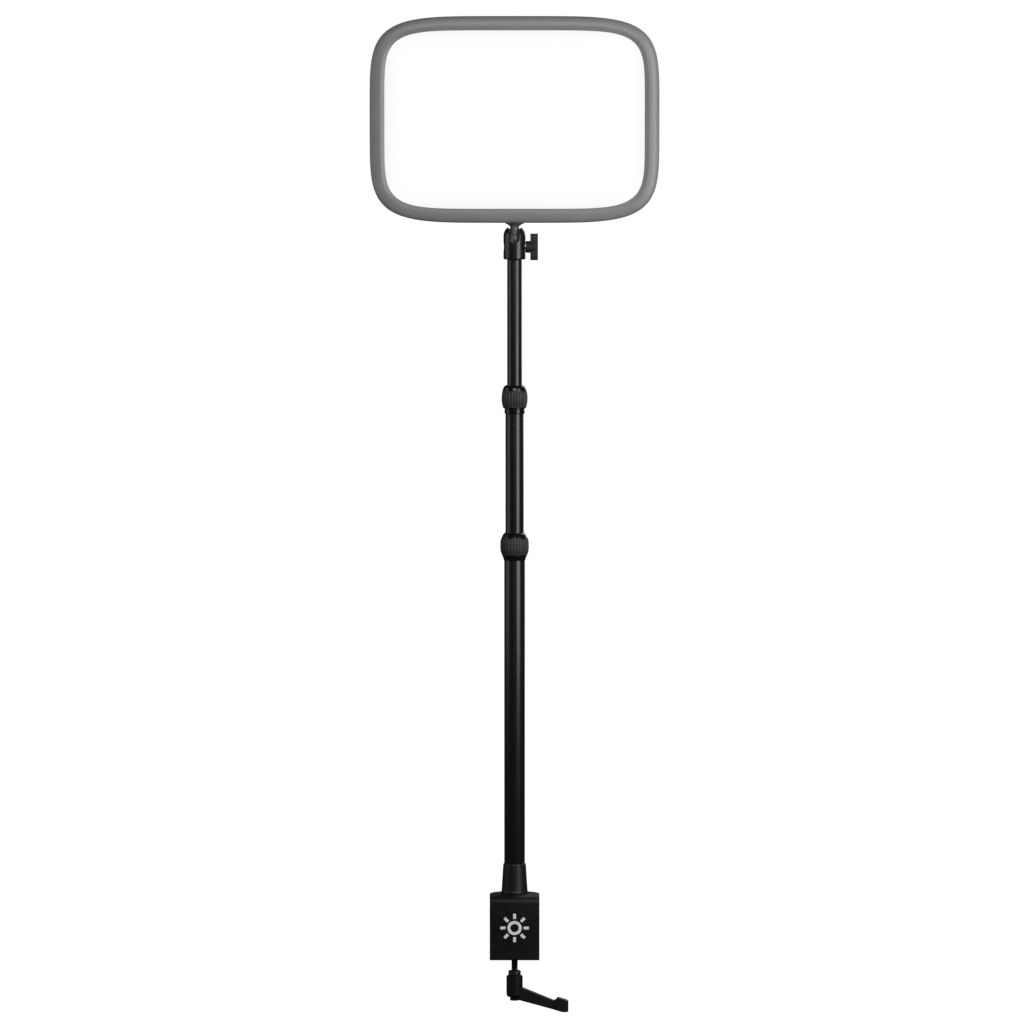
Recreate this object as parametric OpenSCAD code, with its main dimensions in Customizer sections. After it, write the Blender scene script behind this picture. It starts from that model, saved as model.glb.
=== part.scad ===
// Desk-clamped edge-lit light panel on a three-section telescoping mast.
// Millimetres. +Z runs up the mast, the lit face looks towards -Y, and the
// origin is the centre of the upper jaw's contact face.

/* [Panel] */
// overall width of the light panel
panel_w = 348; // [300:1:420]
// overall height of the light panel
panel_h = 248; // [200:1:300]
// overall depth of the light panel
panel_t = 30; // [28:1:40]
// width of the border round the lit area
bezel_w = 17.2; // [14:0.1:22]
// squareness of the outline, higher is squarer
corner_n = 5; // [4.5:0.1:7]
// squareness of the opening over the lit area
window_n = 6.1; // [5.5:0.1:8]
// emitters along each side of the light guide
led_count = 30; // [10:1:34]
// cooling slots in each row on the back
vent_count = 13; // [5:2:15]

/* [Mast] */
// outside diameter of the lower tube
lower_d = 25; // [24:0.1:26]
// outside diameter of the middle tube
middle_d = 22; // [21:0.1:22.2]
// outside diameter of the upper tube
upper_d = 18; // [17:0.1:18.6]
// wall thickness of every tube
tube_wall = 1.2; // [1:0.1:1.3]
// height of the open end of the lower tube
lower_top = 436; // [400:1:440]
// height of the open end of the middle tube
middle_top = 612; // [560:1:640]
// height of the top of the upper tube
upper_top = 775.4; // [700:0.1:900]

/* [Ball head] */
// radius of the ball
ball_r = 7.8; // [7:0.1:7.9]
// radius of the head housing
head_r = 13.4; // [13:0.1:15]
// radius of the neck that leaves the ball
neck_r = 5.3; // [4.5:0.1:5.4]
// sideways lean of the neck that the opening allows
roll_lim = 6; // [5:1:8]
// backward lean of the neck that the opening allows
back_lim = 10; // [8:1:11]

/* [Desk clamp] */
// width of the clamp frame
clamp_w = 60; // [52:1:80]
// depth of the clamp frame
clamp_depth = 60; // [55:1:70]
// thickness of the clamp frame's plates
plate_t = 7; // [6:0.5:9]
// height of the clamp frame
clamp_h = 77; // [70:1:77]
// radius of the top front edge
edge_r = 9; // [6:0.5:10]
// diameter of the clamp screw
screw_d = 8; // [8:0.1:8.2]

/* [Twist locks] */
// grip ribs round each twist lock
rib_count = 26; // [16:2:30]

/* [Hidden] */
$fn = 96;
pad_t = 2;
clamp_top = pad_t + plate_t;
clamp_bot = clamp_top - clamp_h;
spine_y = -clamp_depth * 2 / 3;
open_y = clamp_depth / 3;
socket_h = 36.3;
r_low = lower_d / 2;
r_mid = middle_d / 2;
r_up = upper_d / 2;
ball_z = upper_top + 25.8;
knob_z = ball_z - 10.2;
panel_z = ball_z + 18.9 + panel_h / 2;
hw = panel_w / 2;
hh = panel_h / 2;
yf = -panel_t / 2;
yb = panel_t / 2;
split_y = yf + 10;
ow = hw - bezel_w - 0.6;
oh = hh - bezel_w + 0.1;
press_z = -12;
lever_z = -91.2;
ctl_z = -80;
nut_z0 = lower_top - 22.9;
unut_z0 = middle_top - 15.6;
black = [0.05, 0.05, 0.055];
satin = [0.09, 0.09, 0.095];
rubber = [0.03, 0.03, 0.03];
steel = [0.62, 0.63, 0.65];
white = [0.93, 0.93, 0.92];

// outline helpers ------------------------------------------------------------

function spow(v, e) = sign(v) * pow(abs(v), e);

module super_shape(a, b, n) {
  polygon([for (i = [0 : 71])
    [a * spow(cos(i * 5), 2 / n), b * spow(sin(i * 5), 2 / n)]]);
}

module super_outline(inset) {
  super_shape(hw - inset, hh - inset, corner_n);
}

module window_outline(margin) {
  super_shape(ow + margin, oh + margin, window_n);
}

module round_rect(a, b, r) {
  square([2 * a, 2 * (b - r)], center = true);
  square([2 * (a - r), 2 * b], center = true);
  for (sx = [-1, 1], sy = [-1, 1])
    translate([sx * (a - r), sy * (b - r)])
      circle(r = r);
}

// a flat outline drawn in X and Z about the panel's centre, thick along Y
module plate_y(y0, y1) {
  translate([0, y1, panel_z])
    rotate([90, 0, 0])
      linear_extrude(height = y1 - y0)
        children();
}

module rod_y(x, z, y0, y1, r) {
  translate([x, y1, panel_z + z])
    rotate([90, 0, 0])
      cylinder(h = y1 - y0, r = r);
}

module rod_x(z, x0, x1, r) {
  translate([x0, 0, z])
    rotate([0, 90, 0])
      cylinder(h = x1 - x0, r = r);
}

module rod_z(z0, z1, r) {
  translate([0, 0, z0])
    cylinder(h = z1 - z0, r = r);
}

module pipe(z0, z1, r_out, r_in) {
  rotate_extrude()
    translate([r_in, z0])
      square([r_out - r_in, z1 - z0]);
}

// desk clamp -------------------------------------------------------------------

module c_section() {
  difference() {
    union() {
      translate([spine_y, clamp_bot])
        square([clamp_depth, clamp_h - edge_r]);
      translate([spine_y + edge_r, clamp_bot])
        square([clamp_depth - edge_r, clamp_h]);
      translate([spine_y + edge_r, clamp_top - edge_r])
        circle(r = edge_r);
    }
    translate([spine_y + plate_t, clamp_bot + plate_t])
      square([clamp_depth, clamp_h - 2 * plate_t]);
  }
}

module clamp_plan() {
  back_r = clamp_w / 2 - 2;
  translate([-clamp_w / 2, spine_y])
    square([clamp_w, clamp_depth - back_r]);
  translate([-clamp_w / 2 + back_r, spine_y])
    square([clamp_w - 2 * back_r, clamp_depth]);
  for (s = [-1, 1])
    translate([s * (clamp_w / 2 - back_r), open_y - back_r])
      circle(r = back_r);
}

module clamp_frame() {
  color(black)
  difference() {
    intersection() {
      translate([-clamp_w / 2, 0, 0])
        rotate([90, 0, 90])
          linear_extrude(height = clamp_w)
            c_section();
      translate([0, 0, clamp_bot])
        linear_extrude(height = clamp_h)
          clamp_plan();
    }
    rod_z(pad_t - 1, clamp_top + 1, 4.2);
    translate([0, 0, pad_t - 0.01])
      cylinder(h = 4.2, r1 = 8.3, r2 = 4.2);
    translate([0, 0, clamp_bot - 1])
      cylinder(h = plate_t + 2, r = 7.5, $fn = 6);
  }
}

module jaw_pad() {
  color(rubber)
  linear_extrude(height = pad_t)
    round_rect(22, 15, 8);
}

module clamp_nut() {
  color(steel)
  difference() {
    translate([0, 0, clamp_bot])
      cylinder(h = plate_t, r = 7.5, $fn = 6);
    rod_z(clamp_bot - 1, clamp_bot + plate_t + 1, screw_d / 2 + 0.1);
  }
}

module badge_mark() {
  mark_z = -28.5;
  color(white)
  translate([0, spine_y, mark_z])
    rotate([90, 0, 0])
      linear_extrude(height = 0.3) {
        difference() {
          circle(r = 8.6);
          circle(r = 5);
        }
        for (i = [0 : 7])
          rotate(i * 45)
            translate([11, -1.8])
              square([6.2, 3.6]);
      }
}

module mast_socket() {
  z1 = clamp_top + socket_h;
  color(black)
  rotate_extrude()
    polygon([[4.2, clamp_top], [15.6, clamp_top], [16.25, clamp_top + 0.7],
      [16.1, clamp_top + 3], [13.6, z1 - 0.6], [13.1, z1],
      [r_low + 0.02, z1], [r_low + 0.02, clamp_top + 3], [4.2, clamp_top + 3]]);
}

module mast_bolt() {
  color(steel)
  difference() {
    rotate_extrude()
      polygon([[0, pad_t], [8.1, pad_t], [4, pad_t + 4.1], [4, 31], [3, 32], [0, 32]]);
    translate([0, 0, pad_t - 1])
      cylinder(h = 4, r = 2.9, $fn = 6);
  }
}

module mast_plug() {
  color(steel)
  difference() {
    rod_z(clamp_top + 3, clamp_top + 31, r_low - tube_wall - 0.02);
    rod_z(clamp_top + 2, clamp_top + 32, 4.02);
  }
}

// mast ---------------------------------------------------------------------------

module lower_tube() {
  color(satin)
  pipe(clamp_top + 3, lower_top, r_low, r_low - tube_wall);
}

module lower_ferrule() {
  color(black)
  pipe(lower_top - 12, lower_top, r_low + 0.8, r_low + 0.01);
}

module collet(z, r_in, r_base, r_tip, h) {
  difference() {
    rotate_extrude()
      polygon([[r_in, z], [r_base, z], [r_base, z + 1.6], [r_tip, z + h], [r_in, z + h]]);
    for (i = [0 : 2])
      rotate(i * 60)
        translate([-r_base - 2, -0.6, z + 1.2])
          cube([2 * r_base + 4, 1.2, h]);
  }
}

module lower_collet() {
  color(white)
  collet(lower_top, r_mid + 0.06, r_low + 0.5, r_mid + 1, 7);
}

module upper_collet() {
  color(white)
  collet(middle_top, r_up + 0.06, r_mid + 0.7, r_up + 1.3, 7.6);
}

module grip_ribs(z0, z1, r_mid_rib, bite) {
  for (i = [0 : rib_count - 1])
    rotate(i * 360 / rib_count)
      translate([r_mid_rib, 0, z0])
        cylinder(h = z1 - z0, r = bite);
}

module lower_collar_nut() {
  z = nut_z0;
  color(black)
  rotate_extrude()
    polygon([[r_low + 0.1, z], [r_low + 0.6, z], [13.6, z + 3], [14.7, z + 4.6],
      [15.2, z + 6.2], [14.6, z + 6.6], [14.6, z + 26.8], [15.9, z + 27], [15, z + 28.8],
      [14.4, z + 30], [13.6, z + 31.6], [11.75, z + 33.2], [r_mid + 0.2, z + 33.2],
      [r_mid + 0.2, z + 31.4], [r_mid + 1.4, z + 30.2],
      [r_low + 1, z + 24.6], [r_low + 1, z + 9], [r_low + 0.1, z + 9]]);
}

module lower_collar_grip() {
  z = nut_z0;
  color(rubber)
  difference() {
    rotate_extrude()
      polygon([[14.67, z + 6.7], [15.4, z + 6.8], [16, z + 8.2], [16.7, z + 10.6],
        [17.15, z + 13.2], [17.3, z + 16], [17.3, z + 18.5], [17.2, z + 21.5],
        [16.9, z + 23.6], [16.5, z + 25.4], [16, z + 26.6], [14.67, z + 26.7]]);
    grip_ribs(z + 8, z + 25.5, 18.1, 1.15);
  }
}

module upper_ferrule() {
  color(black)
  difference() {
    rotate_extrude()
      polygon([[r_mid + 0.01, unut_z0 - 6.4], [11.5, unut_z0 - 6.4],
        [12.15, unut_z0 - 5.7], [12.15, middle_top], [r_mid + 0.01, middle_top]]);
  }
}

module upper_collar_nut() {
  z = unut_z0;
  color(black)
  rotate_extrude()
    polygon([[12.25, z], [13.8, z + 0.4], [13.9, z + 1.4], [13.2, z + 1.6],
      [13.2, z + 21.6], [14.6, z + 21.8], [14, z + 23.6], [13.5, z + 25.2],
      [12.5, z + 26.6], [10.9, z + 27.9], [r_up + 0.2, z + 27.9], [r_up + 0.2, z + 25.2],
      [r_up + 1.7, z + 24], [12.25, z + 18]]);
}

module upper_collar_grip() {
  z = unut_z0;
  color(rubber)
  difference() {
    rotate_extrude()
      polygon([[13.27, z + 1.67], [14.2, z + 1.7], [14.6, z + 3.2], [15.4, z + 7.4],
        [15.8, z + 11.5], [15.7, z + 14.5], [15.4, z + 17.6], [15, z + 20.2],
        [14.7, z + 21.4], [13.27, z + 21.5]]);
    grip_ribs(z + 3, z + 20, 16.5, 1.05);
  }
}

module middle_tube() {
  color(satin)
  pipe(212, middle_top, r_mid, r_mid - tube_wall);
}

module middle_guide() {
  color(white)
  difference() {
    union() {
      rod_z(206, 212, r_low - tube_wall - 0.06);
      rod_z(212, 222, r_mid - tube_wall - 0.02);
    }
    rod_z(205, 223, 7);
  }
}

module upper_tube() {
  color(satin)
  pipe(380, upper_top, r_up, r_up - tube_wall);
}

module upper_guide() {
  color(white)
  difference() {
    union() {
      rod_z(374, 380, r_mid - tube_wall - 0.06);
      rod_z(380, 390, r_up - tube_wall - 0.02);
    }
    rod_z(373, 391, 5);
  }
}

module mast_top_stud() {
  color(steel)
  difference() {
    union() {
      rod_z(upper_top - 20, upper_top, r_up - tube_wall - 0.02);
      rod_z(upper_top, upper_top + 9, 3);
    }
    translate([0, 0, upper_top - 21])
      cylinder(h = 6, r = 2.9, $fn = 6);
  }
}

// ball head ------------------------------------------------------------------------

module neck_opening() {
  half = (neck_r + 0.4) / cos(roll_lim);
  rise = 20;
  side = half + rise * tan(roll_lim);
  back = (neck_r + 0.7) / cos(back_lim);
  intersection() {
    translate([0, 20, 0])
      rotate([90, 0, 0])
        linear_extrude(height = 40)
          polygon([[-half, 0], [half, 0], [side, rise], [-side, rise]]);
    translate([-20, 0, 0])
      rotate([90, 0, 90])
        linear_extrude(height = 40)
          polygon([[-20, 0], [back, 0], [back + rise * tan(back_lim), rise], [-20, rise]]);
  }
  translate([0, 0, 0])
    rotate([90, 0, 0])
      cylinder(h = 20, r = neck_r + 0.45);
}

module head_housing() {
  z0 = upper_top + 0.6;
  color(black)
  difference() {
    union() {
      translate([0, 0, ball_z + 3])
        sphere(r = head_r);
      rotate_extrude()
        polygon([[0, z0], [head_r - 1.2, z0], [head_r, z0 + 1.2], [head_r, ball_z + 3],
          [0, ball_z + 3]]);
    }
    rod_z(ball_z + 12.9, ball_z + 20, 14);
    translate([0, 0, ball_z]) {
      sphere(r = ball_r + 0.08);
      intersection() {
        sphere(r = ball_r + 1.9);
        translate([-15, -15, -28])
          cube([30, 30, 30]);
      }
      neck_opening();
      translate([-0.5, 0, -17])
        cube([1, 20, 17]);
    }
    rod_x(knob_z, -20, 20, 2.15);
    rod_x(knob_z, -20, -9.6, 4.7);
    rod_x(knob_z, 12.6, 20, 7.3);
    rod_z(z0 - 1, upper_top + 10, 3.08);
  }
}

module pan_washer() {
  color(white)
  pipe(upper_top, upper_top + 0.55, 8.8, 3.2);
}

module cross_nut() {
  color(steel)
  difference() {
    rod_x(knob_z, -13, -9.7, 4.62);
    rod_x(knob_z, -14, -9, 2.05);
  }
}

module ball_seat() {
  color(white)
  translate([0, 0, ball_z])
    difference() {
      intersection() {
        sphere(r = ball_r + 1.8);
        translate([0, 0, -5.5])
          cylinder(h = 4, r = 12);
      }
      sphere(r = ball_r + 0.05);
      rotate([90, 0, 0])
        cylinder(h = 20, r = neck_r + 0.45);
    }
}

module wing_knob() {
  color(black)
  difference() {
    union() {
      rod_x(knob_z, 13.3, 19.1, 7.1);
      translate([18.9, 0, knob_z])
        rotate([90, 0, 90])
          linear_extrude(height = 9.3) {
            square([8.6, 23.4], center = true);
            circle(r = 7.1);
            for (s = [-1, 1])
              translate([0, s * 11.7])
                circle(r = 4.3);
          }
    }
    rod_x(knob_z, 12, 24, 2);
  }
}

module knob_spindle() {
  color(steel)
  rod_x(knob_z, -12.8, 24, 1.97);
}

module knob_washer() {
  color(steel)
  difference() {
    rod_x(knob_z, 12.68, 13.28, 6);
    rod_x(knob_z, 12, 14, 2);
  }
}

// panel --------------------------------------------------------------------------------

module ball_stem() {
  color(satin)
  translate([0, 0, ball_z])
    difference() {
      union() {
        sphere(r = ball_r);
        rotate_extrude()
          polygon([[0, 3], [neck_r, 3], [neck_r, 13], [5.6, 14.2], [6.5, 15.4],
            [8.4, 16.6], [10.2, 17.6], [11.4, 18], [11.4, 18.3], [0, 18.3]]);
      }
      rod_z(6, 19, 3.02);
    }
}

module stem_pad() {
  color(rubber)
  pipe(ball_z + 18.3, ball_z + 18.9, 11.2, 3.2);
}

module stem_stud() {
  color(steel)
  rod_z(ball_z + 6.2, ball_z + 36, 3);
}

module mount_block() {
  color(steel)
  difference() {
    translate([-18, -2.6, panel_z - hh + 3.7])
      cube([36, 10.4, 17]);
    rod_z(panel_z - hh, panel_z - hh + 30, 3.02);
  }
}

rear_screw_at = [for (sx = [-1, 1], sz = [-1, 1]) [sx * (hw - 6.5), sz * 45],
  for (sx = [-1, 1], sz = [-1, 1]) [sx * 95, sz * (hh - 6.5)]];

spreader_screw_at = [[-hw + 7.2, 0], [hw - 7.2, 0], [-40, hh - 7], [40, hh - 7],
  [-50, -hh + 7], [50, -hh + 7]];

module front_frame() {
  color(black)
  difference() {
    hull() {
      plate_y(yf + 6, split_y) super_outline(0);
      plate_y(yf + 3, yf + 4) super_outline(0.9);
      plate_y(yf + 0.9, yf + 1.5) super_outline(3);
      plate_y(yf, yf + 0.1) super_outline(6.5);
    }
    hull() {
      plate_y(yf - 0.2, yf - 0.1) window_outline(5.4);
      plate_y(yf + 1.8, yf + 1.9) window_outline(0);
    }
    plate_y(yf + 1.7, yf + 2.6) window_outline(0);
    plate_y(yf + 2.5, split_y + 1) round_rect(hw - 10, hh - 9, 55);
    for (p = rear_screw_at)
      rod_y(p[0], p[1], yf + 5, split_y + 1, 1.32);
    for (p = spreader_screw_at)
      rod_y(p[0], p[1], yf + 5, split_y + 1, 1.22);
  }
}

module diffuser() {
  color(white)
  plate_y(yf + 2.5, yf + 4.5)
    round_rect(hw - 10.4, hh - 9.4, 54.6);
}

module diffuser_gasket() {
  color(rubber)
  plate_y(yf + 4.5, yf + 5)
    difference() {
      round_rect(hw - 10.4, hh - 9.4, 54.6);
      window_outline(1.1);
    }
}

module light_guide() {
  color([0.85, 0.9, 0.92])
  plate_y(yf + 5, yf + 9)
    round_rect(hw - 15.5, hh - 13, 50);
}

module reflector_sheet() {
  color(white)
  plate_y(yf + 9, yf + 9.4)
    round_rect(hw - 15.5, hh - 13, 50);
}

module led_strips() {
  color([0.9, 0.9, 0.85])
  for (s = [-1, 1])
    translate([s * (hw - 11.4) - 0.6, yf + 5.1, panel_z - 64])
      cube([1.2, 4.7, 128]);
}

module led_chips() {
  pitch = 4;
  color([0.95, 0.85, 0.35])
  for (s = [-1, 1], i = [0 : led_count - 1])
    translate([s * (hw - 13.5) - 1.4, yf + 5.9, panel_z + (i - (led_count - 1) / 2) * pitch - 1.4])
      cube([2.8, 2.2, 2.8]);
}

module heat_spreader() {
  color(steel)
  difference() {
    plate_y(split_y + 0.1, split_y + 1.6)
      super_outline(4.8);
    for (p = rear_screw_at)
      rod_y(p[0], p[1], split_y - 1, split_y + 3, 5.6);
    for (p = spreader_screw_at)
      rod_y(p[0], p[1], split_y - 1, split_y + 3, 1.6);
  }
}

module spreader_screws() {
  color(steel)
  for (p = spreader_screw_at) {
    rod_y(p[0], p[1], split_y - 4, split_y + 1.7, 1.2);
    rod_y(p[0], p[1], split_y + 1.6, split_y + 3.2, 2.3);
  }
}

module cover_outer() {
  hull() {
    plate_y(split_y, yb - 8) super_outline(0);
    plate_y(yb - 5, yb - 4) super_outline(1.6);
    plate_y(yb - 2.2, yb - 1.6) super_outline(4.8);
    plate_y(yb - 0.1, yb) super_outline(10);
  }
}

module rear_cover() {
  color(satin)
  difference() {
    cover_outer();
    difference() {
      union() {
        plate_y(split_y - 1, yb - 7) super_outline(3.4);
        plate_y(yb - 7.1, yb - 3) super_outline(9);
      }
      for (p = rear_screw_at)
        rod_y(p[0], p[1], split_y - 2, yb, 5);
    }
    for (p = rear_screw_at) {
      rod_y(p[0], p[1], split_y - 2, yb + 1, 1.7);
      rod_y(p[0], p[1], split_y + 9, yb + 1, 3.3);
    }
    for (row = [0, 1], i = [0 : vent_count - 1])
      plate_y(yb - 4, yb + 1)
        translate([(i - (vent_count - 1) / 2) * 15, 38 + row * 34])
          round_rect(2, 12, 1.99);
    rod_y(-34, ctl_z, yb - 4, yb + 1, 4.75);
    rod_y(34, ctl_z, yb - 4, yb + 1, 4.1);
    plate_y(yb - 4, yb + 1)
      translate([0, ctl_z])
        square([19.4, 13], center = true);
    rod_z(panel_z - hh - 1, panel_z - hh + 4, 3.3);
  }
}

module driver_board() {
  color([0.05, 0.25, 0.12])
  difference() {
    plate_y(yb - 12, yb - 10.4)
      translate([0, -72])
        square([124, 58], center = true);
    for (sx = [-1, 1], z = [-95, -49])
      rod_y(sx * 56, z, yb - 13, yb - 10, 1.7);
  }
}

module board_standoffs() {
  color(steel)
  for (sx = [-1, 1], z = [-95, -49])
    difference() {
      rod_y(sx * 56, z, split_y + 1.6, yb - 12, 3);
      rod_y(sx * 56, z, split_y + 3, yb - 11, 1.25);
    }
}

module board_box(x, z, w, h, t) {
  translate([x - w / 2, yb - 10.4, panel_z + z - h / 2])
    cube([w, t, h]);
}

module board_components() {
  color([0.12, 0.12, 0.13]) {
    board_box(40, -60, 22, 18, 6);
    board_box(-48, -66, 18, 14, 2.4);
    board_box(-20, -56, 10, 10, 1.6);
    board_box(12, -56, 8, 8, 1.6);
    board_box(34, ctl_z, 6, 6, 4.2);
    for (x = [-12, 0, 58])
      rod_y(x == 58 ? 52 : x, x == 58 ? -84 : -96, yb - 10.4, yb - 4.4, 3.6);
  }
}

module rear_screws() {
  color(steel)
  for (p = rear_screw_at)
    difference() {
      union() {
        rod_y(p[0], p[1], split_y - 4, split_y + 9.1, 1.3);
        rod_y(p[0], p[1], split_y + 9, split_y + 11, 2.8);
      }
      translate([p[0], split_y + 12, panel_z + p[1]])
        rotate([90, 0, 0])
          cylinder(h = 2.2, r = 1.3, $fn = 6);
    }
}

module dc_jack() {
  color(rubber)
  difference() {
    union() {
      board_box(-34, ctl_z, 11, 11, 7);
      rod_y(-34, ctl_z, yb - 4, yb - 0.3, 4.6);
    }
    rod_y(-34, ctl_z, yb - 9, yb + 1, 2.75);
  }
}

module dc_pin() {
  color(steel)
  rod_y(-34, ctl_z, yb - 9, yb - 1, 1.05);
}

module switch_frame() {
  color(rubber)
  difference() {
    union() {
      plate_y(yb, yb + 1.2)
        translate([0, ctl_z])
          round_rect(10.6, 7.6, 1.2);
      plate_y(yb - 9, yb)
        translate([0, ctl_z])
          square([19, 12.6], center = true);
    }
    plate_y(yb - 7.6, yb + 2)
      translate([0, ctl_z])
        square([16.6, 10.4], center = true);
    translate([0, yb - 1, panel_z + ctl_z - 5.8])
      cylinder(h = 11.6, r = 0.86);
  }
}

module power_rocker() {
  color(black)
  translate([0, yb - 1, panel_z + ctl_z - 5]) {
    rotate([0, 0, -8])
      linear_extrude(height = 10)
        polygon([[-6.2, -3], [6.2, -3], [7.4, 2.5], [3.6, 1.7], [0, 1.4], [-3.6, 1.7],
          [-7.4, 2.5]]);
    translate([0, 0, -0.7])
      cylinder(h = 11.4, r = 0.8);
  }
}

module pair_button() {
  color(satin) {
    rod_y(34, ctl_z, yb - 5.2, yb - 4.6, 2);
    rod_y(34, ctl_z, yb - 4.6, yb - 3.2, 5.2);
    rod_y(34, ctl_z, yb - 3.2, yb + 0.8, 3.85);
  }
}

// clamp screw ------------------------------------------------------------------------------

module press_pad() {
  z0 = press_z - 8;
  color(steel)
  difference() {
    rotate_extrude()
      polygon([[0, z0], [10, z0], [11.5, z0 + 2.6], [17.4, z0 + 3.4], [18, z0 + 4],
        [18, z0 + 6], [0, z0 + 6]]);
    rod_z(z0 - 1, z0 + 4.2, screw_d / 2 + 0.06);
    rod_z(z0 - 1, z0 + 1.6, 6.6);
  }
}

module press_pad_rubber() {
  color(rubber)
  rod_z(press_z - 2, press_z, 17.6);
}

module pad_circlip() {
  color(steel)
  difference() {
    pipe(press_z - 7.8, press_z - 6.9, 5.9, 3.3);
    translate([0, -1.4, press_z - 8])
      cube([8, 2.8, 2]);
  }
}

module clamp_spindle() {
  color(steel)
  rotate_extrude()
    polygon([[0, lever_z - 10], [3.6, lever_z - 10], [screw_d / 2, lever_z - 9.6],
      [screw_d / 2, press_z - 7.8], [3.3, press_z - 7.8], [3.3, press_z - 6.9],
      [screw_d / 2, press_z - 6.9], [screw_d / 2, press_z - 4.6],
      [3.6, press_z - 4], [0, press_z - 4]]);
}

module lever_insert() {
  color(steel)
  difference() {
    union() {
      rod_z(lever_z, lever_z + 6, 7.55);
      rod_z(lever_z - 14, lever_z, 6);
      translate([0, 0, lever_z - 4])
        cylinder(h = 4, r = 7.2, $fn = 12);
    }
    rod_z(lever_z - 10, lever_z + 7, screw_d / 2);
    rod_z(lever_z - 15, lever_z - 9, 2);
  }
}

module lever_screw() {
  color(steel)
  difference() {
    union() {
      rod_z(lever_z - 29.5, lever_z - 26, 3.5);
      rod_z(lever_z - 26.1, lever_z - 11, 1.97);
    }
    translate([0, 0, lever_z - 30])
      cylinder(h = 2.6, r = 1.73, $fn = 6);
  }
}

module lever_spring() {
  turns = 4;
  steps = 20;
  sides = 6;
  wire = 0.38;
  mean = 3.0;
  z0 = lever_z - 25.5;
  z1 = lever_z - 17.5;
  n = turns * steps;
  pts = [for (i = [0 : n], k = [0 : sides - 1])
    let (a = i * 360 / steps, q = k * 360 / sides, r = mean + wire * cos(q))
      [r * cos(a), r * sin(a), z0 + (z1 - z0) * i / n + wire * sin(q)]];
  skin = [for (i = [0 : n - 1], k = [0 : sides - 1])
    let (m = (k + 1) % sides)
      [i * sides + k, i * sides + m, (i + 1) * sides + m, (i + 1) * sides + k]];
  ends = [[for (k = [sides - 1 : -1 : 0]) k], [for (k = [0 : sides - 1]) n * sides + k]];
  color(steel)
  polyhedron(points = pts, faces = concat(skin, ends));
}

module lever_plan() {
  polygon([[0, -5.6], [10, -5.6], [46, -4.8], [52, -6.8], [61.5, -6.8], [61.5, 6.8],
    [52, 6.8], [46, 4.8], [10, 5.6], [0, 5.6]]);
  translate([61, -3.1])
    square([4.2, 6.2]);
  for (s = [-1, 1])
    translate([61.5, s * 3.1])
      circle(r = 3.7);
}

module clamp_lever() {
  t = lever_z;
  color(black)
  difference() {
    union() {
      rotate_extrude()
        polygon([[0, t + 0.1], [9.1, t + 0.1], [9.9, t - 0.7], [9.9, t - 23.6],
          [8.6, t - 25.6], [5.5, t - 26.6], [5.5, t - 30.1], [5.1, t - 30.5], [0, t - 30.5]]);
      intersection() {
        translate([0, 7, 0])
          rotate([90, 0, 0])
            linear_extrude(height = 14)
              polygon([[0, t - 14], [8, t - 14.2], [9.9, t - 14.9], [48.9, t - 30.8],
                [52.5, t - 26.8], [63.7, t - 30.1], [64.9, t - 31.3], [65.2, t - 43.2],
                [64.4, t - 44.2], [58, t - 44.2], [6.5, t - 29.9], [0, t - 29]]);
        translate([0, 0, t - 50])
          linear_extrude(height = 40)
            lever_plan();
      }
    }
    rod_z(t - 14.6, t + 1, 6.1);
    translate([0, 0, t - 4.4])
      cylinder(h = 6, r = 7.3, $fn = 12);
    rod_z(t - 0.2, t + 1, 7.65);
    rod_z(t - 20, t, 2.3);
    rod_z(t - 32, t - 17, 4);
  }
}

// drawing ------------------------------------------------------------------------------------

clamp_frame();
jaw_pad();
clamp_nut();
badge_mark();
mast_socket();
mast_bolt();
mast_plug();
lower_tube();
lower_ferrule();
lower_collet();
press_pad();
press_pad_rubber();
pad_circlip();
clamp_spindle();
lever_insert();
lever_screw();
lever_spring();
clamp_lever();
lower_collar_nut();
lower_collar_grip();
middle_tube();
middle_guide();
upper_ferrule();
upper_collet();
upper_collar_nut();
upper_collar_grip();
upper_tube();
upper_guide();
mast_top_stud();
head_housing();
pan_washer();
cross_nut();
ball_seat();
wing_knob();
knob_spindle();
knob_washer();
ball_stem();
stem_pad();
stem_stud();
mount_block();
front_frame();
diffuser();
diffuser_gasket();
light_guide();
reflector_sheet();
led_strips();
led_chips();
heat_spreader();
spreader_screws();
rear_cover();
driver_board();
board_components();
board_standoffs();
rear_screws();
dc_jack();
dc_pin();
switch_frame();
power_rocker();
pair_button();
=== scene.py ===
"""LED panel light on a desk-clamped telescoping mast: looks, lights and camera."""
import math

import bmesh
import bpy
from mathutils import Matrix, Vector


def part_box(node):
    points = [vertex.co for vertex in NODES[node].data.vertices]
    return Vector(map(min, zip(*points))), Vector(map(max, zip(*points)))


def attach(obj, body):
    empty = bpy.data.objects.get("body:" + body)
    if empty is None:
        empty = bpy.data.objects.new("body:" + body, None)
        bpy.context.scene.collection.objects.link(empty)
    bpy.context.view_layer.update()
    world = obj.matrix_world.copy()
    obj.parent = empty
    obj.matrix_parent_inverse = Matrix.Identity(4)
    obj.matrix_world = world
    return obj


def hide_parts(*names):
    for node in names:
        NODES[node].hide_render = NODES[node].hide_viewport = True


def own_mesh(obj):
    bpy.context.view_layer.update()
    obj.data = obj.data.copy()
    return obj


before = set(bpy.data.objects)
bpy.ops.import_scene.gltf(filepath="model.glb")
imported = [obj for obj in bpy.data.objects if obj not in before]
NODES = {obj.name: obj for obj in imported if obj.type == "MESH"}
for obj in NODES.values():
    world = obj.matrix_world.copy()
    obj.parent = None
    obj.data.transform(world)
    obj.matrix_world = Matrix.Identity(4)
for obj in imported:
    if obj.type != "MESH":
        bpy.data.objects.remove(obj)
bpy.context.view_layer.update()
TAU = 2 * math.pi
MM = 0.001

# ---------------------------------------------------------------- positions

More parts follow.
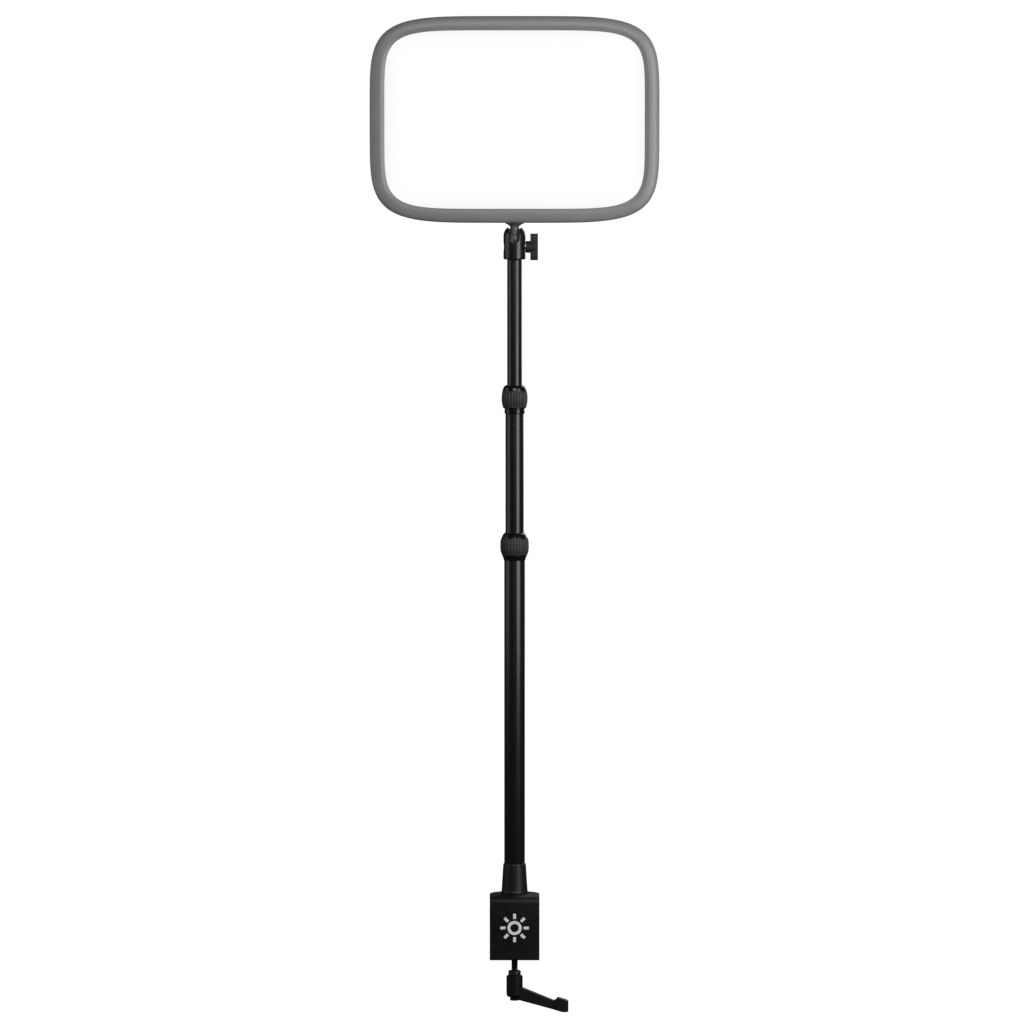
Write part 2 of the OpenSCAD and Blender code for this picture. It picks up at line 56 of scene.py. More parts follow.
FRAME_LO, FRAME_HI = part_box("front_frame")
PANEL_C = ((FRAME_LO[0] + FRAME_HI[0]) / 2, (FRAME_LO[2] + FRAME_HI[2]) / 2)  # the panel's middle, (x, z)
HALF_W = (FRAME_HI[0] - FRAME_LO[0]) / 2
HALF_H = (FRAME_HI[2] - FRAME_LO[2]) / 2
FRONT_Y = FRAME_LO[1]
SPLIT_Y = FRAME_HI[1]                 # where the front frame meets the rear cover
BACK_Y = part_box("rear_cover")[1][1]
OPEN_W = HALF_W - 17.8 * MM           # half of the lit opening's width
OPEN_H = HALF_H - 17.1 * MM           # and of its height
OUTLINE_N = 5.0                       # superellipse power of the panel's outline
OPENING_N = 6.1                       # and of the opening
HEAD_LO, HEAD_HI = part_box("head_housing")
BALL_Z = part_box("ball_seat")[0][2] + 5.5 * MM
KNOB_LO, KNOB_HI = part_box("wing_knob")
KNOB_Z = (KNOB_LO[2] + KNOB_HI[2]) / 2
INLET_Z = (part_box("dc_pin")[0][2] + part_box("dc_pin")[1][2]) / 2
LEVER_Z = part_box("lever_insert")[1][2] - 6 * MM     # the top of the lever's hub

# ---------------------------------------------------------------- materials


class Nodes:
    """A short way to write a material's node tree."""

    def __init__(self, name):
        self.mat = bpy.data.materials.new(name)
        self.mat.use_nodes = True
        self.tree = self.mat.node_tree
        self.bsdf = self.tree.nodes["Principled BSDF"]
        self.coord = self.tree.nodes.new("ShaderNodeTexCoord").outputs["Object"]

    def put(self, **values):
        for key, value in values.items():
            self.bsdf.inputs[key.replace("_", " ")].default_value = value

    def node(self, kind, **settings):
        made = self.tree.nodes.new("ShaderNode" + kind)
        for key, value in settings.items():
            setattr(made, key, value)
        return made

    def link(self, a, b):
        self.tree.links.new(a, b)

    def mapped(self, scale):
        made = self.node("Mapping")
        made.inputs["Scale"].default_value = scale
        self.link(self.coord, made.inputs["Vector"])
        return made.outputs["Vector"]

    def noise(self, scale, detail=3.0, rough=0.5, vector=None, distort=0.0):
        made = self.node("TexNoise")
        made.inputs["Scale"].default_value = scale
        made.inputs["Detail"].default_value = detail
        made.inputs["Roughness"].default_value = rough
        made.inputs["Distortion"].default_value = distort
        self.link(vector or self.coord, made.inputs["Vector"])
        return made.outputs["Fac"]

    def cells(self, scale, feature):
        """The distance to the nearest cell of a Voronoi pattern."""
        made = self.node("TexVoronoi", feature=feature)
        made.inputs["Scale"].default_value = scale
        self.link(self.coord, made.inputs["Vector"])
        return made.outputs["Distance"]

    def ramp(self, fac, stops):
        made = self.node("ValToRGB")
        points = made.color_ramp.elements
        while len(points) < len(stops):
            points.new(0.5)
        for point, (position, colour) in zip(points, stops):
            point.position = position
            point.color = (*colour, 1)
        self.link(fac, made.inputs["Fac"])
        return made.outputs["Color"]

    def scaled(self, fac, low, high, from_low=0.0, from_high=1.0):
        made = self.node("MapRange")
        made.inputs["From Min"].default_value = from_low
        made.inputs["From Max"].default_value = from_high
        made.inputs["To Min"].default_value = low
        made.inputs["To Max"].default_value = high
        self.link(fac, made.inputs["Value"])
        return made.outputs["Result"]

    def math(self, kind, a, b=None):
        made = self.node("Math", operation=kind)
        for i, v in enumerate((a, b)):
            if v is None:
                continue
            if isinstance(v, (int, float)):
                made.inputs[i].default_value = v
            else:
                self.link(v, made.inputs[i])
        return made.outputs[0]

    def weighted(self, a, share_a, b, share_b):
        return self.math("ADD", self.math("MULTIPLY", a, share_a), self.math("MULTIPLY", b, share_b))

    def mix(self, fac, a, b):
        made = self.node("Mix", data_type="RGBA")
        self.link(fac, made.inputs[0])
        for i, v in ((6, a), (7, b)):       # the sockets A and B of a colour mix
            if isinstance(v, tuple):
                made.inputs[i].default_value = (*v, 1)
            else:
                self.link(v, made.inputs[i])
        return made.outputs[2]

    def bump(self, height, strength, distance):
        made = self.node("Bump")
        made.inputs["Strength"].default_value = strength
        made.inputs["Distance"].default_value = distance
        self.link(height, made.inputs["Height"])
        self.link(made.outputs["Normal"], self.bsdf.inputs["Normal"])

    def colour(self, out):
        self.link(out, self.bsdf.inputs["Base Color"])

    def rough(self, out):
        self.link(out, self.bsdf.inputs["Roughness"])

    def edge_wear(self):
        """0 on flats to 1 on sharp convex edges."""
        geo = self.node("NewGeometry")
        return self.scaled(geo.outputs["Pointiness"], 0, 1, 0.52, 0.6)


def tint(colour, factor):
    return tuple(min(1.0, c * factor) for c in colour)


def grey(value):
    return (value, value, value)


def moulded(name, colour, rough, grain=900.0, bump=0.25, spread=0.18, spec=0.5):
    """Moulded plastic or rubber with a fine spark-eroded grain."""
    m = Nodes(name)
    m.put(Specular_IOR_Level=spec)
    cloud = m.noise(28, 4, 0.6)
    fine = m.noise(grain, 2, 0.6)
    m.colour(m.ramp(cloud, [(0.3, tint(colour, 1 - spread)), (0.7, tint(colour, 1 + spread))]))
    m.rough(m.scaled(m.weighted(cloud, 0.6, fine, 0.4), rough * 0.86, rough * 1.14, 0.3, 0.7))
    m.bump(fine, bump, 0.06 * MM)
    return m.mat


def powder(name, colour, rough, cell=1700.0, bump=0.5, spec=0.5):
    """Fine-textured powder coat on metal, a little worn on its edges."""
    m = Nodes(name)
    m.put(Specular_IOR_Level=spec)
    cloud = m.noise(22, 5, 0.62)
    worn = m.math("MULTIPLY", m.edge_wear(), m.scaled(m.noise(160, 4, 0.7), 0, 1, 0.45, 0.7))
    base = m.ramp(cloud, [(0.3, tint(colour, 0.8)), (0.72, tint(colour, 1.25))])
    m.colour(m.mix(worn, base, tint(colour, 3.0)))
    m.rough(m.scaled(cloud, rough * 0.88, rough * 1.12, 0.3, 0.7))
    height = m.weighted(m.cells(cell, "SMOOTH_F1"), 0.7, m.noise(cell * 0.4, 2, 0.5), 1.0)
    m.bump(height, bump, 0.05 * MM)
    return m.mat


def anodised(name, colour, rough):
    """Drawn aluminium, anodised: fine lines along its length, faint handling marks."""
    m = Nodes(name)
    lines = m.noise(1.0, 3, 0.6, m.mapped((2600, 2600, 14)))
    cloud = m.noise(12, 5, 0.65)
    smear = m.noise(55, 5, 0.7, m.mapped((1, 1, 0.3)), 0.6)
    m.colour(m.ramp(cloud, [(0.3, tint(colour, 0.82)), (0.7, tint(colour, 1.22))]))
    m.rough(m.scaled(m.weighted(lines, 0.45, smear, 0.55), rough * 0.86, rough * 1.2, 0.32, 0.7))
    m.bump(lines, 0.1, 0.03 * MM)
    return m.mat


def turned_metal(name, colour, rough, scale=2400.0):
    """Bare plated or machined metal."""
    m = Nodes(name)
    m.put(Metallic=1.0)
    fine = m.noise(1.0, 3, 0.6, m.mapped((scale, scale, 120)))
    cloud = m.noise(60, 4, 0.6)
    m.colour(m.ramp(cloud, [(0.3, tint(colour, 0.88)), (0.7, tint(colour, 1.12))]))
    m.rough(m.scaled(m.weighted(fine, 0.5, cloud, 0.5), rough * 0.75, rough * 1.35, 0.3, 0.7))
    m.bump(fine, 0.12, 0.03 * MM)
    return m.mat


def lit_diffuser(name):
    """Opal sheet lit from behind, a little dimmer close to the border."""
    m = Nodes(name)
    m.put(Specular_IOR_Level=0.3, Emission_Strength=1.0)
    position = m.node("SeparateXYZ")
    m.link(m.coord, position.inputs[0])
    from_side = []
    for axis, centre, half in ((0, PANEL_C[0], OPEN_W), (2, PANEL_C[1], OPEN_H)):
        off = m.math("ABSOLUTE", m.math("SUBTRACT", position.outputs[axis], centre))
        from_side.append(m.math("SUBTRACT", half, off))
    near = m.math("SMOOTH_MIN", *from_side)
    near.node.inputs[2].default_value = 30 * MM     # how far the corners are smoothed
    grain = m.noise(260, 3, 0.5)
    glow = m.math("ADD", m.scaled(near, 0, 1, -4 * MM, 24 * MM), m.scaled(grain, -0.015, 0.015, 0.3, 0.7))
    colour = m.ramp(glow, [(0.0, grey(0.84)), (0.45, grey(0.915)), (1.0, grey(0.95))])
    m.link(colour, m.bsdf.inputs["Emission Color"])
    m.colour(m.ramp(grain, [(0.3, grey(0.045)), (0.7, grey(0.055))]))
    m.rough(m.scaled(grain, 0.42, 0.56, 0.3, 0.7))
    m.bump(m.cells(900, "F1"), 0.1, 0.03 * MM)
    return m.mat


MAT = {
    "frame_grey": moulded("frame_grey", (0.235, 0.236, 0.24), 0.42, 1500, 0.2, 0.05),
    "cover_grey": moulded("cover_grey", (0.20, 0.201, 0.205), 0.5, 1100, 0.35, 0.08),
    "powder_black": powder("powder_black", (0.0032, 0.0032, 0.0034), 0.5, spec=0.28),
    "cast_black": powder("cast_black", (0.0065, 0.0065, 0.0068), 0.42, 1300, 0.5, 0.42),
    "tube_black": anodised("tube_black", (0.0045, 0.0045, 0.005), 0.3),
    "head_black": anodised("head_black", (0.006, 0.006, 0.0065), 0.3),
    "stem_grey": anodised("stem_grey", (0.1, 0.1, 0.103), 0.38),
    "gloss_black": moulded("gloss_black", (0.004, 0.004, 0.0043), 0.2, 700, 0.06, 0.2, 0.35),
    "soft_black": moulded("soft_black", (0.028, 0.028, 0.029), 0.5, 2200, 0.35, 0.25, 0.4),
    "knob_black": moulded("knob_black", (0.015, 0.015, 0.0155), 0.55, 1500, 0.3, 0.15, 0.35),
    "pad_rubber": moulded("pad_rubber", (0.014, 0.014, 0.0145), 0.72, 1300, 0.6, 0.3, 0.35),
    "steel": turned_metal("steel", (0.55, 0.56, 0.58), 0.3),
    "dark_steel": turned_metal("dark_steel", (0.14, 0.14, 0.145), 0.34),
    "aluminium": turned_metal("aluminium", (0.7, 0.71, 0.72), 0.34, 1200),
    "brass": turned_metal("brass", (0.72, 0.5, 0.2), 0.3),
    "white_acetal": moulded("white_acetal", (0.72, 0.72, 0.7), 0.4, 900, 0.15, 0.05),
    "white_print": moulded("white_print", (0.9, 0.9, 0.9), 0.45, 2400, 0.2, 0.03),
    "board": moulded("board", (0.02, 0.12, 0.06), 0.38, 500, 0.3, 0.25),
    "chip_black": moulded("chip_black", (0.02, 0.02, 0.022), 0.5, 1200, 0.3, 0.2),
    "emitter": moulded("emitter", (0.75, 0.6, 0.16), 0.4, 800, 0.2, 0.12),
    "acrylic": moulded("acrylic", (0.8, 0.83, 0.84), 0.12, 400, 0.05, 0.03),
    "film_white": moulded("film_white", (0.85, 0.85, 0.85), 0.5, 600, 0.1, 0.02),
    "lit": lit_diffuser("lit"),
}

# ---------------------------------------------------------------- mesh tools


def flat_mesh(name, verts, faces):
    me = bpy.data.meshes.new(name)
    me.from_pydata([tuple(v) for v in verts], [], faces)
    bm = bmesh.new()
    bm.from_mesh(me)
    bmesh.ops.remove_doubles(bm, verts=bm.verts, dist=1e-7)
    bmesh.ops.recalc_face_normals(bm, faces=bm.faces)
    bm.to_mesh(me)
    bm.free()
    return me


def loose(name, me):
    o = bpy.data.objects.new(name, me)
    bpy.context.scene.collection.objects.link(o)
    return o


def shade(o, degrees=35):
    o.data.shade_smooth()
    o.data.set_sharp_from_angle(angle=math.radians(degrees))


def applied(o):
    """The object with its modifiers applied."""
    graph = bpy.context.evaluated_depsgraph_get()
    me = bpy.data.meshes.new_from_object(o.evaluated_get(graph))
    old = o.data
    o.modifiers.clear()
    o.data = me
    bpy.data.meshes.remove(old)
    return o


def modify(o, kind, **settings):
    mod = o.modifiers.new(kind.lower(), kind)
    for key, value in settings.items():
        setattr(mod, key, value)
    return mod


def cut(o, cutters, how="DIFFERENCE"):
    """Boolean with each cutter, which is then removed."""
    for c in cutters:
        modify(o, "BOOLEAN", operation=how, object=c, solver="EXACT")
        applied(o)
        bpy.data.objects.remove(c)
    return o


def place(o, body, material, slot, *replaced, smooth=35):
    o.data.materials.clear()
    o.data.materials.append(MAT[material])
    if smooth:
        shade(o, smooth)
    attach(o, body)
    if replaced:
        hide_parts(*replaced)
    return o


def rounded(points, radius, steps=4):
    """A closed 2-D outline with each corner rounded, by as much as its sides allow."""
    out = []
    n = len(points)
    for i, p in enumerate(points):
        r = radius[i] if isinstance(radius, (list, tuple)) else radius
        if r <= 0:
            out.append(tuple(p))
            continue
        a, b = Vector(points[i - 1]), Vector(points[(i + 1) % n])
        p = Vector(p)
        da, db = (a - p), (b - p)
        la, lb = da.length, db.length
        if la < 1e-9 or lb < 1e-9:
            out.append(tuple(p))
            continue
        da, db = da / la, db / lb
        angle = math.acos(max(-1, min(1, da.dot(db))))
        if angle > math.radians(176):
            out.append(tuple(p))
            continue
        back = min(r / math.tan(angle / 2), 0.48 * la, 0.48 * lb)
        start, end = p + da * back, p + db * back
        for k in range(steps + 1):
            t = k / steps
            out.append(tuple(start * (1 - t) ** 2 + p * 2 * t * (1 - t) + end * t * t))
    return out


def ring_faces(rays, n, gap=None):
    """The faces between neighbouring rays of n points, all round, but for the strip after point gap."""
    faces = []
    for i in range(rays):
        j = (i + 1) % rays
        for k in range(n):
            m = (k + 1) % n
            if k != gap:
                faces.append((i * n + k, j * n + k, j * n + m, i * n + m))
    return faces


def lathe(name, profile, segs=96, closed=True, wave=None):
    """Revolves (radius, height) points about Z. wave(angle, r, z) may change r."""
    verts = []
    n = len(profile)
    for i in range(segs):
        a = TAU * i / segs
        for r, z in profile:
            q = wave(a, r, z) if wave else r
            verts.append((q * math.cos(a), q * math.sin(a), z))
    faces = ring_faces(segs, n, None if closed else n - 1)
    o = loose(name, flat_mesh(name, verts, faces))
    bm = bmesh.new()
    bm.from_mesh(o.data)
    bmesh.ops.dissolve_degenerate(bm, dist=1e-7, edges=bm.edges)
    bm.to_mesh(o.data)
    bm.free()
    return o


def prism(name, outline, depth, matrix=Matrix()):
    """Extrudes an outline (x, y) from 0 to depth along Z, then places it."""
    n = len(outline)
    verts = [(x, y, 0) for x, y in outline] + [(x, y, depth) for x, y in outline]
    faces = [tuple(range(n - 1, -1, -1)), tuple(range(n, 2 * n))]
    faces += [(i, (i + 1) % n, n + (i + 1) % n, n + i) for i in range(n)]
    me = flat_mesh(name, [matrix @ Vector(v) for v in verts], faces)
    return loose(name, me)


def arc(r, first, last, parts, z=0.0):
    """Points of an arc about (0, z), from one angle to another."""
    angles = [first + (last - first) * k / parts for k in range(parts + 1)]
    return [(r * math.cos(a), z + r * math.sin(a)) for a in angles]


def circle(r, n=48, cx=0.0, cy=0.0):
    return [(cx + r * math.cos(TAU * i / n), cy + r * math.sin(TAU * i / n)) for i in range(n)]


def slot_outline(cx, cy, w, h):
    """An upright slot with round ends."""
    r, steps = w / 2, 8
    out = []
    for s, a0 in ((1, 0.0), (-1, math.pi)):
        for k in range(steps + 1):
            a = a0 + math.pi * k / steps
            out.append((cx + r * math.cos(a), cy + s * (h / 2 - r) + r * math.sin(a)))
    return out


def joined(name, objects):
    """One object from several, all of them at the origin."""
    bm = bmesh.new()
    for o in objects:
        bm.from_mesh(o.data)
    me = bpy.data.meshes.new(name)
    bm.to_mesh(me)
    bm.free()
    for o in objects:
        bpy.data.objects.remove(o)
    return loose(name, me)


def cast(o, voxel, passes, keep=1.0):
    """Rounds every edge, as casting or moulding does."""
    modify(o, "REMESH", mode="VOXEL", voxel_size=voxel, adaptivity=0)
    modify(o, "SMOOTH", factor=0.5, iterations=passes)
    if keep < 1:
        modify(o, "DECIMATE", ratio=keep)
    return applied(o)


# for prism(): an outline in (x, z), extruded towards -Y, and one in (y, z), extruded towards +X
TO_XZ = Matrix.Rotation(math.pi / 2, 4, "X")
TO_YZ = Matrix(((0, 0, 1, 0), (1, 0, 0, 0), (0, 1, 0, 0), (0, 0, 0, 1)))


def at(x, y, z, base=Matrix()):
    return Matrix.Translation((x, y, z)) @ base


# ---------------------------------------------------------------- panel


def super_ray(a, w, h, n):
    """How far a superellipse's edge is from its centre, in direction a."""
    c, s = abs(math.cos(a)) / w, abs(math.sin(a)) / h
    return 1 / (c ** n + s ** n) ** (1 / n)


def outer_ray(a, inset=0.0):
    return super_ray(a, HALF_W - inset, HALF_H - inset, OUTLINE_N)


def inner_ray(a, grow=0.0):
    return super_ray(a, OPEN_W + grow, OPEN_H + grow, OPENING_N)


def ring_sweep(name, rows, rays=720, gap=None):
    """A shell from rows of (kind, value, y) all round the panel.

    "o" is the outline inset by value, "i" the opening grown by it, and "m" goes from the
    outline at 0 to the opening at 1. The shell is open after row gap and has a flat sheet
    on each side of it, or else it closes on itself.
    """
    verts = []
    n = len(rows)
    for i in range(rays):
        a = TAU * i / rays
        for kind, v, y in rows:
            if kind == "o":
                r = outer_ray(a, v)
            elif kind == "i":
                r = inner_ray(a, v)
            else:
                r = outer_ray(a) * (1 - v) + inner_ray(a) * v
            verts.append((PANEL_C[0] + r * math.cos(a), y, PANEL_C[1] + r * math.sin(a)))
    faces = ring_faces(rays, n, gap)
    if gap is not None:
        faces += [tuple(i * n + k for i in range(rays)) for k in (gap, (gap + 1) % n)]
    return loose(name, flat_mesh(name, verts, faces))


def front_frame():
    """The border: a side wall, a crown, and a lip that leans in to the lit sheet."""
    rows = [("o", 0.6 * MM, SPLIT_Y), ("o", 0.15 * MM, SPLIT_Y - 0.15 * MM), ("o", 0.0, SPLIT_Y - 0.6 * MM)]
    # the outer convex part, from the side wall over to the crown
    rows += [("o", 0.0, SPLIT_Y - 3 * MM)]
    crown_in, border, drop, steps = 12.5 * MM, 17.2 * MM, 7 * MM, 12
    for k in range(1, steps + 1):
        t = math.pi / 2 * k / steps
        rows.append(("m", crown_in / border * (1 - math.cos(t)), FRONT_Y + drop * (1 - math.sin(t))))
    # a fine step, then the lip that leans in to the lit sheet
    rows += [("m", 0.742, FRONT_Y + 0.06 * MM), ("m", 0.752, FRONT_Y + 0.38 * MM),
             ("m", 0.770, FRONT_Y + 0.46 * MM), ("m", 0.86, FRONT_Y + 1.05 * MM),
             ("m", 0.955, FRONT_Y + 1.85 * MM), ("m", 0.99, FRONT_Y + 2.1 * MM),
             ("m", 1.0, FRONT_Y + 2.3 * MM), ("m", 1.0, FRONT_Y + 2.5 * MM)]
    # the open back, where the sheets lie
    rows += [("o", 9.8 * MM, FRONT_Y + 2.5 * MM), ("o", 9.8 * MM, SPLIT_Y)]
    o = ring_sweep("panel_front_frame", rows)
    place(o, "panel", "frame_grey", "shell_grey", "front_frame", smooth=50)


def diffuser():
    """The lit sheet, just behind the border's lip."""
    rows = [("o", 10.4 * MM, FRONT_Y + 4.5 * MM), ("o", 10.4 * MM, FRONT_Y + 2.56 * MM),
            ("i", -1 * MM, FRONT_Y + 2.55 * MM)]
    o = ring_sweep("lit_diffuser_sheet", rows, rays=360, gap=len(rows) - 1)
    place(o, "panel", "lit", "lit_diffuser", "diffuser", smooth=50)


def cover_cutters():
    """Vents, screw seats, and the openings for the inlet, the button, the rocker and the stem's screw."""
    back = at(PANEL_C[0], BACK_Y + 1 * MM, PANEL_C[1], TO_XZ)
    cutters = []
    columns, step, lowest, rise = 13, 15 * MM, 38 * MM, 34 * MM
    for row in range(2):
        for i in range(columns):
            slot = slot_outline((i - columns // 2) * step, lowest + row * rise, 4 * MM, 24 * MM)
            cutters.append(prism("c", slot, 6 * MM, back))
    from_edge, seat_r = 6.5 * MM, 3.3 * MM
    sides = [(sx * (HALF_W - from_edge), sz * 45 * MM) for sx in (-1, 1) for sz in (-1, 1)]
    ends = [(sx * 95 * MM, sz * (HALF_H - from_edge)) for sx in (-1, 1) for sz in (-1, 1)]
    for x, z in sides + ends:
        cutters.append(prism("c", circle(seat_r, 32, x, z), 12 * MM, back))
    rocker_w, rocker_h, control_x = 9.7 * MM, 6.5 * MM, 34 * MM
    rocker = [(-rocker_w, -rocker_h), (rocker_w, -rocker_h), (rocker_w, rocker_h), (-rocker_w, rocker_h)]
    for outline in (circle(4.75 * MM, 48, -control_x, 0), circle(4.1 * MM, 48, control_x, 0), rocker):
        cutters.append(prism("c", outline, 6 * MM, at(0, BACK_Y + 1 * MM, INLET_Z, TO_XZ)))
    cutters.append(prism("c", circle(seat_r, 32), 6 * MM, at(0, 0, PANEL_C[1] - HALF_H - 1 * MM)))
    return cutters


def rear_cover():
    """The back shell: a side wall that turns over into the flat back."""
    bend, bend_in, wall, steps = 8 * MM, 10.5 * MM, 3 * MM, 12
    rows = [("o", 3.4 * MM, SPLIT_Y), ("o", 0.6 * MM, SPLIT_Y), ("o", 0.15 * MM, SPLIT_Y + 0.15 * MM),
            ("o", 0.0, SPLIT_Y + 0.6 * MM), ("o", 0.0, BACK_Y - bend)]
    for k in range(1, steps + 1):
        t = math.pi / 2 * k / steps
        rows.append(("o", bend_in * (1 - math.cos(t)), BACK_Y - bend * (1 - math.sin(t))))
    rows += [("o", 16 * MM, BACK_Y)]
    back = len(rows) - 1
    rows += [("o", 16 * MM, BACK_Y - wall), ("o", 12 * MM, BACK_Y - wall), ("o", 3.4 * MM, BACK_Y - 9 * MM)]
    o = ring_sweep("panel_rear_cover", rows, rays=480, gap=back)
    cut(o, [joined("cutters", cover_cutters())])
    place(o, "panel", "cover_grey", "shell_grey", "rear_cover", smooth=40)


front_frame()
diffuser()
rear_cover()

# ---------------------------------------------------------------- mast


def tube(name, node, body):
    """A drawn tube with softened ends."""
    lo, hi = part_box(node)
    r, z0, z1 = (hi[0] - lo[0]) / 2, lo[2], hi[2]
    w = 1.2 * MM
    prof = rounded([(r - w, z0), (r, z0), (r, z1), (r - w, z1)], 0.35 * MM, 3)
    o = lathe(name, prof, 128)
    place(o, body, "tube_black", "anodised_black", node)


tube("lower_mast_tube", "lower_tube", "clamp")
tube("middle_mast_tube", "middle_tube", "middle_mast")
tube("upper_mast_tube", "upper_tube", "upper_mast")


def ribs(count, z0, z1, depth, fade):
    """Broad ribs round a grip: a narrow groove between each pair, fading at the ends."""
    groove_from, crown_drop = 0.45, 0.18

    def wave(a, r, z):
        if z <= z0 or z >= z1:
            return r
        phase = (a * count / TAU) % 1.0
        off = abs(phase - 0.5) * 2            # 1 at the groove, 0 on the rib's middle
        groove = max(0.0, (off - groove_from) / (1 - groove_from))
        groove = groove * groove * (3 - 2 * groove)
        end = min(1.0, (z - z0) / fade, (z1 - z) / fade)
        crown = crown_drop * off * off
        return r - depth * end * (groove + crown * (1 - groove))
    return wave


def spline(points, steps=6):
    """A smooth curve through points, as a Catmull-Rom chain."""
    out = []
    pts = [points[0]] + list(points) + [points[-1]]
    for i in range(1, len(pts) - 2):
        p0, p1, p2, p3 = (Vector(p) for p in pts[i - 1:i + 3])
        for k in range(steps):
            t = k / steps
            out.append(tuple(0.5 * ((2 * p1) + (p2 - p0) * t + (2 * p0 - 5 * p1 + 4 * p2 - p3) * t * t
                                    + (3 * p1 - p0 - 3 * p2 + p3) * t ** 3)))
    out.append(tuple(points[-1]))
    return out


def mm(points, z=0.0):
    """(radius, height) points from millimetres to metres, raised by z."""
    return [(r * MM, z + h * MM) for r, h in points]


def ribbed_grip(name, body, node, bore, skin, depth, fade):
    """A rubber grip with a plain bore; the skin's points run from its lower end to its upper one."""
    count, points_per_rib = 26, 14
    wave = ribs(count, skin[0][1], skin[-1][1], depth, fade)
    o = lathe(name, bore + skin, count * points_per_rib, wave=wave)
    place(o, body, "soft_black", "black_rubber", node, smooth=60)


def lower_collar():
    """The lower twist lock: a nut and the grip moulded over it."""
    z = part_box("lower_collar_nut")[0][2]
    nut = mm([(12.6, 0), (13.1, 0), (13.6, 3), (14.7, 4.6), (15.2, 6.2), (14.6, 6.6), (14.6, 26.8),
              (15.9, 27), (15, 28.8), (14.4, 30), (13.6, 31.6), (11.75, 33.2), (11.2, 33.2),
              (11.2, 31.4), (12.4, 30.2), (13.5, 24.6), (13.5, 9), (12.6, 9)], z)
    o = lathe("lower_lock_nut", rounded(nut, 0.4 * MM, 3), 128)
    place(o, "lower_collar", "gloss_black", "black_plastic", "lower_collar_nut")
    skin = spline(mm([(15.4, 6.8), (16, 8.2), (16.7, 10.6), (17.15, 13.2), (17.3, 16), (17.28, 18.5),
                      (17.2, 21.5), (16.9, 23.6), (16.5, 25.4), (16, 26.6)], z), 4)
    bore = mm([(14.67, 26.7), (14.67, 6.7)], z)
    ribbed_grip("lower_lock_grip", "lower_collar", "lower_collar_grip", bore, skin, 0.9 * MM, 2.2 * MM)


def upper_collar():
    """The upper twist lock: a nut and the grip moulded over it."""
    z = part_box("upper_collar_nut")[0][2]
    nut = mm([(12.25, 0), (13.8, 0.4), (13.9, 1.4), (13.2, 1.6), (13.2, 21.6), (14.6, 21.8),
              (14, 23.6), (13.5, 25.2), (12.5, 26.6), (10.9, 27.9), (9.2, 27.9), (9.2, 25.2),
              (10.7, 24), (12.25, 18)], z)
    o = lathe("upper_lock_nut", rounded(nut, 0.35 * MM, 3), 128)
    place(o, "upper_collar", "gloss_black", "black_plastic", "upper_collar_nut")
    skin = spline(mm([(14.2, 1.7), (14.6, 3.2), (15.4, 7.4), (15.8, 11.5), (15.7, 14.5), (15.4, 17.6),
                      (15, 20.2), (14.7, 21.4)], z), 5)
    bore = mm([(13.27, 21.5), (13.27, 1.67)], z)
    ribbed_grip("upper_lock_grip", "upper_collar", "upper_collar_grip", bore, skin, 0.8 * MM, 2.0 * MM)


def upper_sleeve():
    """The sleeve under the upper lock, on the middle tube, with a fine groove round it."""
    lo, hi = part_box("upper_ferrule")
    r = (hi[0] - lo[0]) / 2 / MM
    height = (hi[2] - lo[2]) / MM
    sleeve = mm([(11.01, 0), (11.45, 0), (r, 0.8), (r, 4.4), (r - 0.3, 4.7), (r - 0.3, 5.5), (r, 5.8),
                 (r, height), (11.01, height)], lo[2])
    o = lathe("upper_lock_sleeve", rounded(sleeve, 0.2 * MM, 3), 128)
    place(o, "middle_mast", "gloss_black", "black_plastic", "upper_ferrule")


lower_collar()
upper_collar()
upper_sleeve()


def mast_socket():
    """The tapered foot that holds the lower tube."""
    lo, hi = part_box("mast_socket")
    height = (hi[2] - lo[2]) / MM
    prof = mm([(4.2, 0), (15.9, 0), (16.25, 0.5), (16.1, 2.6), (15.7, 3.4), (13.75, height - 1.2),
               (13.1, height), (12.52, height), (12.52, 3), (4.2, 3)], lo[2])
    o = lathe("mast_foot", rounded(prof, 0.5 * MM, 4), 128)
    place(o, "clamp", "cast_black", "powder_black", "mast_socket")


mast_socket()

# ---------------------------------------------------------------- desk clamp


def clamp_frame():
    """The C frame: flat front, a broad bend into the top plate, and both plates round at the back."""
    lo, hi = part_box("clamp_frame")
    x, y0, y1, z0, z1 = hi[0], lo[1], hi[1], lo[2], hi[2]
    t, over, back_r = 7 * MM, 1 * MM, 28 * MM       # over is how far a cutter runs past the surface
    side = [(y0, z0), (y1, z0), (y1, z0 + t), (y0 + t, z0 + t),
            (y0 + t, z1 - t), (y1, z1 - t), (y1, z1), (y0, z1)]
    radii = [2.2 * MM, 0, 0, 2.0 * MM, 2.0 * MM, 0, 0, 9 * MM]
    o = prism("clamp_body", rounded(side, radii, 12), 2 * x, at(-x, 0, 0, TO_YZ))
    plan = rounded([(-x, y0 - over), (x, y0 - over), (x, y1), (-x, y1)], [0, 0, back_r, back_r], 24)
    cut(o, [prism("c", plan, z1 - z0 + 2 * over, at(0, 0, z0 - over))], "INTERSECT")
    nut_hole = prism("c", circle(7.5 * MM, 6), t + 2 * over, at(0, 0, z0 - over))
    countersink = [(0, 0), (8.4, 0), (8.3, 1.0), (4.2, 5.2), (4.2, 10), (0, 10)]
    cut(o, [nut_hole, lathe("c", mm(countersink, z1 - t - over), 48)])
    modify(o, "BEVEL", width=0.7 * MM, segments=3, limit_method="ANGLE", angle_limit=math.radians(38),
           harden_normals=False)
    applied(o)
    place(o, "clamp", "powder_black", "powder_black", "clamp_frame", smooth=30)


clamp_frame()


